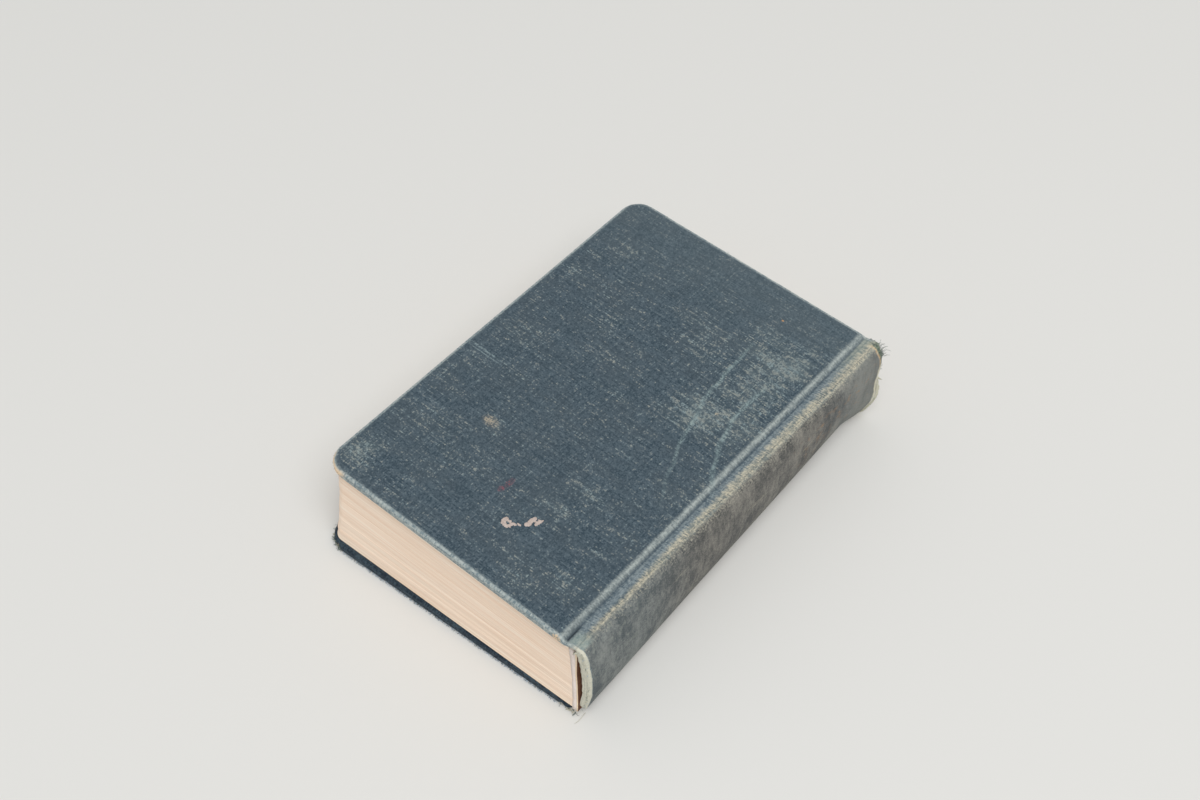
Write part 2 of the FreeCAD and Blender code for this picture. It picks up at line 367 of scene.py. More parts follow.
def case_cloth():
    """The whole case's cloth as one skin, with its flat map and its place across the case."""
    bm = flat_case()
    flat = bm.verts.layers.float_vector.new("flat_place")
    across = bm.verts.layers.float.new("across")
    for v in bm.verts:
        x, y = flat_place(v.co)
        v[flat] = Vector((x, y, 0))
        v[across] = v.co.x
        inside = -v.co.z / cover_thickness
        if any(e.is_boundary for e in v.link_edges):
            inside -= 0.08      # the turned-in cloth's own edge is pressed into the board
        lift = dents(v.co.x, v.co.y) * (1 - inside)
        shrunk = v.co.xy + worn_away(v.co.x, v.co.y)
        v.co = case_point(shrunk.x, shrunk.y, inside, lift)
        v.co.z = max(v.co.z, 0.0)
    return bm


def part_of_case(whole, name, start, stop, material):
    """One stretch of the case's cloth, given its thickness and its flat map."""
    bm = whole.copy()
    across = bm.verts.layers.float["across"]
    outside = [f for f in bm.faces if not start < sum(v[across] for v in f.verts) / len(f.verts) < stop]
    bmesh.ops.delete(bm, geom=outside, context="FACES")
    bmesh.ops.solidify(bm, geom=bm.faces[:], thickness=cloth_thickness)
    flat = bm.verts.layers.float_vector["flat_place"]
    places = bm.loops.layers.uv.new("flat")
    for face in bm.faces:
        for loop in face.loops:
            loop[places].uv = loop.vert[flat].xy * MM
    return object_from(bm, name, material)


# Materials

def paint(red, green, blue):
    """A colour as a screen shows it, from 0 to 255, as the shader takes it."""
    def linear(value):
        value /= 255
        return value / 12.92 if value < 0.04045 else ((value + 0.055) / 1.055) ** 2.4
    return (linear(red), linear(green), linear(blue), 1.0)


class Finish:
    """A material and short ways to add its nodes. Each way returns the socket that holds its result."""

    def __init__(self, name, roughness, sheen=0.0):
        self.material = bpy.data.materials.new(name)
        self.material.use_nodes = True
        self.tree = self.material.node_tree
        self.surface = self.tree.nodes["Principled BSDF"]
        self.surface.inputs["Roughness"].default_value = roughness
        self.surface.inputs["Specular IOR Level"].default_value = 0.25
        self.surface.inputs["Sheen Weight"].default_value = sheen

    def node(self, kind, **settings):
        made = self.tree.nodes.new("ShaderNode" + kind)
        for name, value in settings.items():
            setattr(made, name, value)
        return made

    def put(self, socket, value):
        if isinstance(value, bpy.types.NodeSocket):
            self.tree.links.new(value, socket)
        else:
            socket.default_value = value

    def math(self, operation, first, second=0.0, third=0.0, clamp=False):
        made = self.node("Math", operation=operation, use_clamp=clamp)
        for socket, value in zip(made.inputs, (first, second, third)):
            self.put(socket, value)
        return made.outputs[0]

    def add(self, *values):
        total = values[0]
        for value in values[1:]:
            total = self.math("ADD", total, value)
        return total

    def times(self, *values):
        total = values[0]
        for value in values[1:]:
            total = self.math("MULTIPLY", total, value)
        return total

    def less(self, first, second):
        return self.math("SUBTRACT", first, second)

    def span(self, first, second):
        """The length of a line from its two runs."""
        return self.math("SQRT", self.add(self.times(first, first), self.times(second, second)))

    def centred(self, value, spread):
        """A value from 0 to 1 stretched to spread and moved to lie around 0."""
        return self.math("MULTIPLY_ADD", value, spread, -spread / 2)

    def ramp(self, value, low, high, start=0.0, end=1.0):
        """Rises smoothly from start to end while the value goes from low to high."""
        made = self.node("MapRange", interpolation_type="SMOOTHSTEP")
        for name, number in (("Value", value), ("From Min", low), ("From Max", high), ("To Min", start),
                             ("To Max", end)):
            self.put(made.inputs[name], number)
        return made.outputs[0]

    def scaled(self, vector, scale, shift=(0, 0, 0)):
        made = self.node("Mapping")
        self.put(made.inputs["Vector"], vector)
        made.inputs["Scale"].default_value = scale
        made.inputs["Location"].default_value = shift
        return made.outputs[0]

    def noise(self, vector, scale, shift=(0, 0, 0), detail=2.0, roughness=0.5):
        made = self.node("TexNoise")
        self.put(made.inputs["Vector"], self.scaled(vector, scale, shift))
        made.inputs["Scale"].default_value = 1.0
        made.inputs["Detail"].default_value = detail
        made.inputs["Roughness"].default_value = roughness
        return made.outputs[0]

    def mix(self, share, first, second):
        made = self.node("Mix", data_type="RGBA")
        self.put(made.inputs[0], share)
        self.put(made.inputs[6], first)
        self.put(made.inputs[7], second)
        return made.outputs[2]

    def tone(self, value, low, high, first, second):
        """Goes from the first colour to the second while the value goes from low to high."""
        return self.mix(self.ramp(value, low, high), first, second)

    def split(self, vector):
        made = self.node("SeparateXYZ")
        self.put(made.inputs[0], vector)
        return made.outputs[0], made.outputs[1], made.outputs[2]

    def finish(self, colour, height, depth):
        """Sets the colour and a relief whose height of 1 stands for a depth in metres."""
        self.put(self.surface.inputs["Base Color"], colour)
        bump = self.node("Bump")
        bump.inputs["Distance"].default_value = depth
        bump.inputs["Strength"].default_value = 1.0
        self.put(bump.inputs["Height"], height)
        self.put(self.surface.inputs["Normal"], bump.outputs[0])
        return self.material


# The cloth's finish

thread_pitch = 0.5
rubbed_places = [           # where on the front cover, how wide and how high, and how much
    (99, 36, 20, 40, 1.5), (90, 18, 18, 16, 1.0), (93, 58, 22, 14, 1.0), (90, 66, 17, 6, 1.0),
    (76, 42, 22, 9, 1.2), (86, 12, 19, 14, 1.2), (60, 3, 22, 5, 0.8), (36, 30, 13, 8, 1.0),
    (12, 54, 12, 5, 1.2), (8, 42, 9, 7, 0.8), (85, -38, 15, 7, 1.2), (84, -50, 14, 6, 1.1),
    (101, -55, 9, 5, 1.0), (88, -83, 16, 6, 0.8), (33, -58, 22, 6, 0.9), (20, -48, 18, 10, 0.8),
    (9, -77, 13, 13, 1.7), (28, -80, 10, 9, 0.8), (34, -36, 7, 4, 1.4), (100, -72, 10, 7, 1.2),
    (105, 60, 8, 26, 1.0), (112, 74, 5, 14, 0.9), (109, 38, 9, 60, 0.8), (111, -20, 6, 30, 0.5),
    (20, 0, 22, 8, 0.5), (30, 66, 24, 10, 0.5), (62, 52, 12, 4, 1.0)]
spine_scratches = [         # arcs: middle, radius, where along the book, and how wide
    (176, 4, 40, 1, 9, 0.4), (179, 7, 42, 4, 13, 0.35), (171, 44, 36, 36, 43, 0.35),
    (166, -38, 34, -42, -35, 0.35)]
coloured_spots = [          # where on the front cover, how wide and how high, how much, and the colour
    (34.0, -36.8, 4.6, 3.0, 0.75, (170, 160, 142)), (95.6, 21.0, 0.9, 0.9, 1.0, (206, 190, 162)),
    (86.9, 74.8, 0.7, 0.7, 1.0, (196, 152, 108)), (58.2, -53.2, 1.6, 3.4, 0.75, (130, 80, 90)),
    (57.6, -57.0, 1.7, 2.0, 0.75, (130, 80, 90)), (112.6, -91.7, 2.6, 1.9, 1.3, (234, 204, 166))]


class ClothFinish(Finish):
    """The cloth's material, with marks placed in millimetres on the flat cloth."""

    def __init__(self, name):
        super().__init__(name, roughness=0.9, sheen=0.05)
        metres = self.node("UVMap", uv_map="flat").outputs[0]
        self.flat = self.scaled(metres, (1000, 1000, 1000))
        self.s, self.y, _ = self.split(self.flat)
        self.across = self.math("MINIMUM", self.s, self.less(case_width, self.s))
        wander = self.centred(self.noise(self.flat, (0.05, 0.05, 1.0)), 1.2)
        self.column_place = self.times(self.add(self.s, wander), 1 / thread_pitch)
        self.row_place = self.times(self.add(self.y, wander), 1 / thread_pitch)
        self.column = self.math("FLOOR", self.column_place)
        self.row = self.math("FLOOR", self.row_place)
        self.inside = self.edge_distance()
        self.add_threads()
        self.add_patches()
        self.add_spine_band()

    def add_threads(self):
        """Values that change along single threads, and their sum, the grain."""
        weft = self.centred(self.thread(self.row, self.s, 1.7, 1.0), 4.0)
        long_weft = self.centred(self.thread(self.row, self.s, 18.0, 5.0), 3.6)
        warp = self.centred(self.thread(self.column, self.y, 1.9, 9.0), 3.2)
        long_warp = self.centred(self.thread(self.column, self.y, 24.0, 13.0), 2.4)
        self.grain = self.add(weft, long_weft, warp, long_warp, self.centred(self.crossings(), 2.0))
        self.tick = self.centred(self.thread(self.row, self.across, 2.6, 3.0), 3.6)
        self.strands = self.centred(self.thread(self.row, self.across, 9.0, 21.0), 3.6)

    def add_patches(self):
        """Uneven wear from the size of a hand down to the size of a thread."""
        self.clouds = self.noise(self.flat, (0.05, 0.085, 1.0), (3, 1, 4), detail=4.0, roughness=0.6)
        self.streaks = self.noise(self.flat, (0.09, 0.6, 1.0), (4, 2, 0), detail=3.0, roughness=0.6)
        self.mottle = self.noise(self.flat, (0.22, 0.5, 1.0), (1, 9, 0), detail=3.0, roughness=0.6)
        speckle = self.noise(self.flat, (1.5, 1.1, 1.0), (7, 3, 0), detail=3.0, roughness=0.7)
        self.speckle = self.centred(speckle, 6.0)
        rough = self.noise(self.flat, (0.9, 0.9, 1.0), (6, 6, 0), detail=3.0)
        self.fringe = self.add(self.centred(rough, 4.5), self.times(self.grain, 0.35))

    def add_spine_band(self):
        """How far a place lies past the cream band on the shoulder, where the dark spine begins."""
        ragged = (self.times(self.tick, 0.6), self.times(self.speckle, 0.25), self.centred(self.mottle, 1.4))
        self.ragged_across = self.add(self.across, *ragged)
        band_end = self.ramp(self.y, -60.0, 85.0, joint_end + 1.0, joint_end + 1.8)
        self.past_band = self.less(self.ragged_across, band_end)
        self.on_spine = self.ramp(self.past_band, -0.5, 0.8)

    def thread(self, number, along, length, shift):
        """A value that differs from thread to thread and changes along each one."""
        place = self.node("CombineXYZ")
        self.put(place.inputs[0], self.times(number, 3.713))
        self.put(place.inputs[1], self.times(along, 1 / length))
        place.inputs[2].default_value = shift
        return self.noise(place.outputs[0], (1, 1, 1), detail=1.0)

    def crossings(self):
        """A random value for each place where two threads cross."""
        place = self.node("CombineXYZ")
        self.put(place.inputs[0], self.column)
        self.put(place.inputs[1], self.row)
        made = self.node("TexWhiteNoise")
        self.put(made.inputs["Vector"], place.outputs[0])
        return made.outputs["Value"]

    def weave(self):
        """The relief of the threads: 1 along the top of a thread and 0 between threads."""
        tops = []
        for place, number in ((self.column_place, self.column), (self.row_place, self.row)):
            off = self.math("MULTIPLY_ADD", self.less(place, number), 2.0, -1.0)
            tops.append(self.less(1.0, self.times(off, off)))
        over = self.math("FLOORED_MODULO", self.add(self.column, self.row), 2.0)
        return self.add(self.times(tops[0], over), self.times(tops[1], self.less(1.0, over)))

    def edge_distance(self):
        """How far a place of the flat cloth lies inside the covers' outline."""
        centre = case_width / 2
        off_centre = self.math("ABSOLUTE", self.less(self.s, centre))
        out_s = self.less(off_centre, centre - cover_corner_radius)
        out_y = self.less(self.math("ABSOLUTE", self.y), half_height - cover_corner_radius)
        away = self.span(self.math("MAXIMUM", out_s, 0.0), self.math("MAXIMUM", out_y, 0.0))
        straight = self.math("MINIMUM", self.math("MAXIMUM", out_s, out_y), 0.0)
        return self.less(cover_corner_radius, self.add(away, straight))

    def spot(self, x, y, wide, high, soft=0.6):
        """1 in the middle of an ellipse, falling off to 0 at its rim."""
        dx, dy = self.times(self.less(self.s, x), 1 / wide), self.times(self.less(self.y, y), 1 / high)
        return self.ramp(self.span(dx, dy), 1.0, 1.0 - soft)

    def stretch(self, value, low, high, soft):
        """1 between two values, with soft ends."""
        start, end = self.ramp(value, low - soft, low + soft), self.ramp(value, high + soft, high - soft)
        return self.times(start, end)

    def fold(self, x, y, radius, low, high, wide, soft=6.0):
        """A worn fold along an arc of a circle, between two places along the book."""
        away = self.span(self.less(self.s, x), self.less(self.y, y))
        wander = self.centred(self.noise(self.flat, (0.11, 0.11, 0.11)), 3.0)
        off = self.math("ABSOLUTE", self.less(self.add(away, wander), radius))
        return self.times(self.ramp(off, wide, 0.0), self.stretch(self.y, low, high, soft))

    def band(self, place, wide):
        """A soft line along both covers at a distance from their fore edges."""
        return self.ramp(self.math("ABSOLUTE", self.less(self.across, place)), wide, 0.0)


def rubbed_cloth(f):
    """The cloth's blue-grey, and the paler threads where it is rubbed."""
    rub = f.add(f.centred(f.clouds, 3.6), f.centred(f.mottle, 2.6), f.centred(f.streaks, 3.4))
    for x, y, wide, high, strength in rubbed_places:
        rub = f.add(rub, f.times(f.spot(x, y, wide, high, 1.0), strength))
    dark = f.tone(f.grain, -1.8, 1.8, paint(54, 71, 82), paint(92, 107, 116))
    dark = f.mix(f.ramp(f.clouds, 0.35, 0.65, 0.0, 0.4), dark, paint(80, 91, 98))
    pale = f.tone(f.mottle, 0.4, 0.6, paint(150, 168, 170), paint(170, 171, 160))
    shown = f.ramp(f.add(f.grain, f.times(rub, 0.85)), 0.75, 3.5)
    colour = f.mix(f.times(shown, f.ramp(f.y, 56.0, 84.0, 0.85, 0.45)), dark, pale)
    haze = f.add(f.ramp(rub, 0.3, 3.0, 0.0, 0.5), f.ramp(f.y, 40.0, 90.0, 0.0, 0.14))
    return f.mix(haze, colour, paint(118, 132, 134))


def darkened_spine(f):
    """The spine: brown in the middle and grey at both ends, with specks, rust and short scratches."""
    browned = f.stretch(f.y, -42.0, 62.0, 22.0)
    dark = f.mix(browned, paint(82, 90, 93), paint(80, 81, 80))
    pale = f.mix(browned, paint(138, 142, 139), paint(142, 139, 131))
    fine = f.add(f.times(f.speckle, 0.6), f.times(f.grain, 0.35))
    broad = f.add(f.centred(f.clouds, 7.5), f.centred(f.mottle, 3.6))
    colour = f.tone(f.add(fine, broad), -1.7, 2.1, dark, pale)
    specks = f.add(f.speckle, f.times(f.tick, 0.8), f.ramp(f.past_band, 7.0, 0.0, 0.0, 1.7))
    colour = f.mix(f.ramp(specks, 1.2, 2.8, 0.0, 0.65), colour, paint(178, 174, 158))
    patches = f.ramp(f.add(f.strands, f.centred(f.clouds, 3.0)), -1.4, 1.4, 0.25, 0.9)
    colour = f.mix(f.times(f.ramp(f.y, 58.0, 84.0), patches), colour, paint(136, 137, 131))
    rust = f.times(f.stretch(f.y, 34.0, 86.0, 8.0), f.stretch(f.s, joint_end + 8, joint_end + 27, 5.0))
    spots = f.noise(f.flat, (0.45, 0.22, 1.0), (2, 5, 0), detail=4.0, roughness=0.65)
    colour = f.mix(f.times(rust, f.ramp(spots, 0.54, 0.66, 0.0, 0.6)), colour, paint(158, 128, 98))
    spots = f.ramp(f.noise(f.flat, (0.3, 0.3, 1.0), (9, 5, 0), detail=4.0), 0.52, 0.7, 0.0, 0.45)
    colour = f.mix(f.times(spots, f.ramp(f.y, -48.0, -72.0)), colour, paint(152, 157, 149))
    scratches = f.add(*(f.fold(*scratch, 3.0) for scratch in spine_scratches))
    scratches = f.times(scratches, f.ramp(f.add(f.speckle, f.tick), -1.5, 1.0, 0.1, 0.6))
    colour = f.mix(scratches, colour, paint(190, 184, 164))
    foot = f.ramp(f.s, case_width - joint_end - 5.0, case_width - joint_end - 3.0)
    return f.mix(f.times(foot, 0.6), colour, paint(128, 120, 116))


def over_joints(f, colour):
    """A pale ridge on the board's edge, a thin crease of painted shade, a bluish band and a cream shoulder.
    """
    uneven = f.ramp(f.noise(f.flat, (0.5, 0.1, 1.0), (2, 2, 0), detail=3.0), 0.3, 0.62)
    fuzz = f.ramp(f.add(f.grain, f.centred(f.mottle, 3.0)), -1.4, 1.0)
    bluish = f.stretch(f.across, cover_width + 0.4, joint_end - 1.0, 0.8)
    blue = f.tone(f.add(f.grain, f.tick), -2.4, 2.4, paint(92, 109, 119), paint(154, 165, 167))
    colour = f.mix(f.times(bluish, 0.85), colour, blue)
    far_joint = f.tone(f.add(f.tick, f.fringe), -2.4, 2.0, paint(116, 132, 128), paint(178, 180, 164))
    colour = f.mix(f.times(bluish, f.ramp(f.y, 62.0, 84.0, 0.0, 0.75)), colour, far_joint)
    worn_ridge = f.times(f.add(0.6, f.times(uneven, 0.4)), f.add(0.6, f.times(fuzz, 0.4)))
    colour = f.mix(f.times(f.band(board_edge + 0.6, 1.8), worn_ridge), colour, paint(178, 186, 182))
    # Two thin dark lines along the crease: painted shade.
    colour = f.mix(f.times(f.band(cover_width + 0.35, 0.5), 0.3), colour, paint(62, 77, 90))
    colour = f.mix(f.times(f.band(cover_width + 1.9, 0.35), 0.3), colour, paint(78, 94, 106))
    cream_place = f.add(f.ragged_across, f.ramp(f.y, -20.0, -70.0, 0.0, -1.3))
    cream_start = f.ramp(cream_place, joint_end - 3.2, joint_end - 0.9)
    cream_band = f.times(cream_start, f.ramp(f.past_band, 0.7, -0.5))
    cream_tone = f.add(f.tick, f.times(f.grain, 0.45), f.centred(uneven, 1.2))
    cream = f.tone(cream_tone, -1.9, 1.7, paint(124, 134, 132), paint(204, 197, 175))
    colour = f.mix(f.times(cream_band, f.add(0.65, f.times(fuzz, 0.35))), colour, cream)
    joint = f.stretch(f.across, cover_width + 1.3, joint_end + 2.6, 0.7)
    near_joint = f.times(f.ramp(f.y, -81.0, -86.5), joint)
    worn_joint = f.tone(f.fringe, -1.6, 1.6, paint(128, 146, 144), paint(172, 182, 174))
    colour = f.mix(f.times(near_joint, 0.8), colour, worn_joint)
    # The deeper slit at the near end is painted near-black: painted shade.
    slit = f.times(f.band(cover_width + 0.4, 0.95), f.ramp(f.y, -80.0, -84.0))
    return f.mix(f.times(slit, 0.85), colour, paint(44, 54, 60))


def over_edges(f, colour):
    """The covers' edges: pale on the front cover, painted shade with a pale fringe on the back cover."""
    reach = f.ramp(f.y, -half_height + 12, -half_height, 0.8, 1.1)
    edge = f.ramp(f.less(f.add(f.inside, f.times(f.fringe, 0.8)), reach), 1.0, -0.9)
    on_back = f.ramp(f.s, case_width - joint_end - 2.0, case_width - joint_end + 2.0)
    pale_edge = f.tone(f.add(f.grain, f.fringe), -2.4, 2.2, paint(122, 138, 144), paint(188, 196, 192))
    # The back cover's edge, under the leaves, is painted darker than its cloth: painted shade.
    shaded_edge = f.tone(f.grain, -1.6, 1.8, paint(30, 42, 54), paint(66, 82, 92))
    bottom_fringe = f.times(f.stretch(f.inside, -0.9, 0.4, 0.3), f.ramp(f.fringe, -1.0, 1.0))
    back_edge = f.mix(f.times(bottom_fringe, 0.8), shaded_edge, paint(136, 154, 168))
    colour = f.mix(f.times(edge, f.less(1.0, on_back), 0.9), colour, pale_edge)
    return f.mix(f.times(f.ramp(f.inside, 1.2, 0.2), on_back), colour, back_edge)


def over_spine_ends(f, colour):
    """The spine's ends: a pale fold at the near end, and frays inside a cream ring at the far end."""
    back_joint = case_width - joint_end
    far_end = f.ramp(f.y, 0.0, 10.0)
    spine_ends = f.times(f.ramp(f.across, joint_end - 3.0, joint_end + 1.0),
                         f.ramp(f.s, back_joint - 1.0, back_joint - 3.0))
    end_reach = f.times(f.ramp(f.s, joint_end + 9, joint_end + 14, 0.6, 1.7), far_end)
    ragged_inside = f.less(f.add(f.inside, f.times(f.fringe, 0.45)), end_reach)
    end_tone = f.add(f.strands, f.times(f.fringe, 0.5))
    end_pale = f.tone(end_tone, -2.0, 1.8, paint(176, 177, 162), paint(230, 226, 208))
    # At the far end the pale worn fold is lightened further: painted light, since the lamp reaches it only at
    # a grazing angle.
    end_pale = f.mix(f.times(far_end, 0.6), end_pale, paint(218, 214, 190))
    colour = f.mix(f.times(spine_ends, f.ramp(ragged_inside, 0.9, 0.1)), colour, end_pale)
    ring_place = f.ramp(f.s, joint_end + 13.0, joint_end, 1.4, 3.3)
    past_ring = f.less(f.add(f.inside, f.times(f.fringe, 0.25)), ring_place)
    upper_corner = f.times(far_end, spine_ends, f.ramp(f.s, joint_end + 15.0, joint_end + 10.0))
    dark_frays = f.tone(f.add(f.grain, f.fringe), -1.8, 2.2, paint(48, 68, 66), paint(128, 142, 124))
    colour = f.mix(f.times(upper_corner, f.ramp(past_ring, 0.2, -0.4), 0.9), colour, dark_frays)
    ring = f.times(f.stretch(past_ring, -0.3, 0.5, 0.35), upper_corner)
    ring_colour = f.tone(f.grain, -1, 1, paint(200, 166, 124), paint(214, 200, 170))
    colour = f.mix(f.times(ring, 0.9), colour, ring_colour)
    turned_in = f.times(spine_ends, f.ramp(f.inside, -3.4, -4.2))
    return f.mix(turned_in, colour, paint(104, 68, 52))


def worn_folds(f):
    """Two long worn folds on the front cover, broken up by the weave."""
    fade = f.ramp(f.y, -22.0, 4.0, 0.3, 1.0)
    long_fold = f.times(f.fold(256, 55, 170.7, -26, 56, 1.3), fade)
    folds = f.math("MAXIMUM", f.fold(169.9, 34, 68.6, -7, 42, 1.5), long_fold)
    patchy = f.ramp(f.add(f.grain, f.centred(f.mottle, 6.0), f.centred(f.streaks, 4.0)), -1.8, 1.8)
    return f.times(folds, f.add(0.25, f.times(patchy, 0.75)))


def over_marks(f, colour):
    """Straight scratches, coloured spots and the bare near fore corner of the front cover."""
    broken = f.ramp(f.noise(f.flat, (0.35, 0.05, 1.0), (8, 8, 0), detail=3.0), 0.4, 0.6, 0.1, 1.0)
    two_lines = f.add(f.stretch(f.y, -13.1, -12.5, 0.35), f.times(f.stretch(f.y, -14.5, -14.0, 0.3), 0.7))
    fore_scratch = f.times(f.stretch(f.s, 0.5, 18.0, 5.0), two_lines)
    far_line = f.stretch(f.y, 68.2, 68.6, 0.3)
    far_scratch = f.times(f.stretch(f.s, 82.0, 103.0, 5.0), far_line, broken, 0.8)
    streak = f.times(f.add(fore_scratch, far_scratch), f.ramp(f.grain, -1.5, 1.0, 0.1, 0.7))
    colour = f.mix(streak, colour, paint(156, 174, 176))
    fibrous = f.ramp(f.add(f.grain, f.centred(f.mottle, 3.0)), -0.4, 1.4)
    for x, y, wide, high, strength, tone in coloured_spots:
        share = f.times(f.spot(x, y, wide, high), strength, f.add(0.2, fibrous))
        colour = f.mix(f.math("MINIMUM", share, 1.0), colour, paint(*tone))
    bare = f.times(f.stretch(f.inside, -3.4, -0.2, 0.5), f.spot(3.8, -88.5, 8.5, 6.5, 0.4))
    return f.mix(f.times(bare, f.ramp(f.fringe, -2.6, -0.8)), colour, paint(246, 218, 184))


def cloth_material():
    f = ClothFinish("worn_book_cloth")
    colour = f.mix(f.on_spine, rubbed_cloth(f), darkened_spine(f))
    colour = over_spine_ends(f, over_edges(f, over_joints(f, colour)))
    folds = worn_folds(f)
    colour = over_marks(f, f.mix(f.times(folds, 0.62), colour, paint(152, 172, 172)))
    relief = f.times(f.ramp(f.grain, -2.0, 2.0), f.less(0.7, f.times(f.on_spine, 0.4)))
    return f.finish(colour, f.add(f.times(f.weave(), 0.6), relief, f.times(folds, 1.4)), 0.0001)


def leaf_material():
    f = Finish("leaf_edges", roughness=0.85)
    leaf = f.node("Attribute", attribute_name="leaf").outputs["Fac"]
    place = f.node("TexCoord").outputs["Object"]
    x, y, _ = f.split(f.scaled(place, (1000, 1000, 1000)))
    along = f.node("CombineXYZ")
    f.put(along.inputs[0], f.times(x, 0.02))
    f.put(along.inputs[1], f.times(y, 0.02))
    f.put(along.inputs[2], leaf)
    fine = f.noise(along.outputs[0], (1, 1, 150), detail=2.0)
    broad = f.noise(along.outputs[0], (1, 1, 14), (3, 0, 0), detail=3.0)
    middle = f.noise(along.outputs[0], (1, 1, 46), (5, 0, 0), detail=2.0)
    colour = f.tone(fine, 0.3, 0.7, paint(246, 219, 195), paint(254, 238, 220))
    colour = f.mix(f.ramp(middle, 0.5, 0.72, 0.0, 0.4), colour, paint(236, 205, 178))
    colour = f.mix(f.ramp(broad, 0.45, 0.75, 0.0, 0.35), colour, paint(240, 208, 180))
    return f.finish(colour, fine, 0.0001)


def plain_material(name, first, second, scale, roughness=0.85, relief=0.0001):
    """Paper, board or gauze: two close colours in a fibrous mottle."""
    f = Finish(name, roughness)
    place = f.node("TexCoord").outputs["Object"]
    mottle = f.noise(place, (scale, scale, scale), detail=5.0, roughness=0.65)
    fibres = f.noise(place, (scale * 9, scale * 3, scale * 9), detail=3.0)
    value = f.add(f.times(mottle, 0.6), f.times(fibres, 0.4))
    return f.finish(f.tone(value, 0.35, 0.65, first, second), fibres, relief)


# The leaves

def leaf_point(x, y, share):
    """A point of the leaves. share is 0 at the back cover and 1 at the front cover."""
    fore = fore_edge_square
    back = cover_width + back_low
    hollow = fore_edge_hollow * 4 * share * (1 - share)
    leaned = (back_high - back_low) * share + back_bulge * 4 * share * (1 - share)
    toward_back = (x - fore) / (back - fore)
    x += hollow * (1 - toward_back) + leaned * toward_back
    y -= math.tan(math.radians(block_skew)) * (1 - share) * (x - fore)
    return cover_point(x, y, block_depth, False).lerp(cover_point(x, y, block_depth, True), share)


def leaves():
    """The block of leaves in many thin layers, with layers and gatherings slightly out of line."""
    bm = bmesh.new()
    fore, back, end = fore_edge_square, cover_width + back_low, half_height - square
    verts = [bm.verts.new((x, y, 0)) for x, y in ((fore, -end), (back, -end), (back, end), (fore, end))]
    bm.faces.new(verts)
    fore_corners = [verts[0], verts[3]]
    bmesh.ops.bevel(bm, geom=fore_corners, offset=leaf_corner_radius, offset_type="OFFSET", segments=8,
                    profile=0.5, affect="VERTICES", material=-1)
    cut_lines(bm, "x", spaced(fore, back, 6.0))
    cut_lines(bm, "y", spaced(-end, end, 6.0))
    leaf = bm.verts.layers.float.new("leaf")
    edges = [e for e in bm.edges if e.is_boundary]
    for v in only_verts(bmesh.ops.duplicate(bm, geom=bm.faces[:])):
        v[leaf] = 1.0
    for level in range(1, leaf_layers + 1):
        made = bmesh.ops.extrude_edge_only(bm, edges=edges)
        for v in only_verts(made):
            v[leaf] = level / leaf_layers
        edges = only_edges(made)
    draw = random.Random(7)
    steps = [draw.uniform(-0.05, 0.05) for _ in range(leaf_layers + 1)]
    gatherings = [draw.uniform(-0.11, 0.11) for _ in range(gathering_count)]
    centre, half_width = Vector(((fore + back) / 2, 0, 0)), (back - fore) / 2
    for v in bm.verts:
        share = v[leaf]
        level = round(share * leaf_layers)
        out = steps[level] + gatherings[int(share * gathering_count)] if 0 < level < leaf_layers else 0.0
        away = v.co - centre
        x, y = v.co.x, v.co.y
        if abs(away.x) > half_width - leaf_corner_radius:
            x += out * math.copysign(1, away.x)
        if abs(away.y) > end - leaf_corner_radius:
            y += out * math.copysign(1, away.y)
        v.co = leaf_point(x, y, share)
    bmesh.ops.remove_doubles(bm, verts=bm.verts, dist=1e-4)
    bmesh.ops.recalc_face_normals(bm, faces=bm.faces)
    return object_from(bm, "leaves", leaf_material(), faces_smooth=False)


def endpaper_joint(top, material):
    """The fold of an endpaper in the joint, between the pasted leaf and the free leaf."""
    bm = bmesh.new()
    line = [(-3.4, 3.80), (-1.8, 3.76), (-0.6, 3.36), (0.3, 3.30), (0.8, 3.62), (0.3, 3.93), (-1.2, 3.95)]
    end = half_height - 2.5
    verts = [bm.verts.new((cover_width + x, -end, depth)) for x, depth in line]
    edges = [bm.edges.new(pair) for pair in zip(verts, verts[1:])]
    made = bmesh.ops.extrude_edge_only(bm, edges=edges)
    bmesh.ops.translate(bm, vec=(0, 2 * end, 0), verts=only_verts(made))
    cut_lines(bm, "y", spaced(-end, end, 12.0))
    for v in bm.verts:
        v.co = cover_point(v.co.x, v.co.y, v.co.z, top)
    bmesh.ops.recalc_face_normals(bm, faces=bm.faces)
    bmesh.ops.solidify(bm, geom=bm.faces[:], thickness=0.1)
    side = "front" if top else "back"
    piece = object_from(bm, side + "_endpaper_joint", material)
    start, stop = (to_row @ cover_point(cover_width + x, 0, 3.7, top) for x in (-2.0, 1.0))
    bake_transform(piece, side + "_cover", "block", start=start, end=stop)


def plate(low, high, thickness):
    """A flat plate whose sides x and y run from low to high."""
    bm = bmesh.new()
    corners = [(low[0], low[1]), (high[0], low[1]), (high[0], high[1]), (low[0], high[1])]
    bm.faces.new([bm.verts.new((x, y, 0)) for x, y in corners])
    made = bmesh.ops.extrude_face_region(bm, geom=bm.faces[:])
    bmesh.ops.translate(bm, vec=(0, 0, thickness), verts=only_verts(made))
    return bm


def spine_strip(material):
    """The stiff strip inside the spine, between the outer cloth and the cloth turned in over it."""
    start, end = joint_end + edge_run, half_height - 0.7
    bm = plate((start, -end), (case_width - start, end), 1.0)
    cut_lines(bm, "x", spaced(start, case_width - start, 2.0))
    cut_lines(bm, "y", spaced(-end, end, 5.0))
    for v in bm.verts:
        shrunk = v.co.xy + worn_away(v.co.x, v.co.y)
        v.co = case_point(shrunk.x, shrunk.y, 0.14 + 0.7 * v.co.z)
    bmesh.ops.recalc_face_normals(bm, faces=bm.faces)
    piece = object_from(bm, "spine_strip", material)
    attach(piece, "block")
    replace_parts(piece, "spine_board")


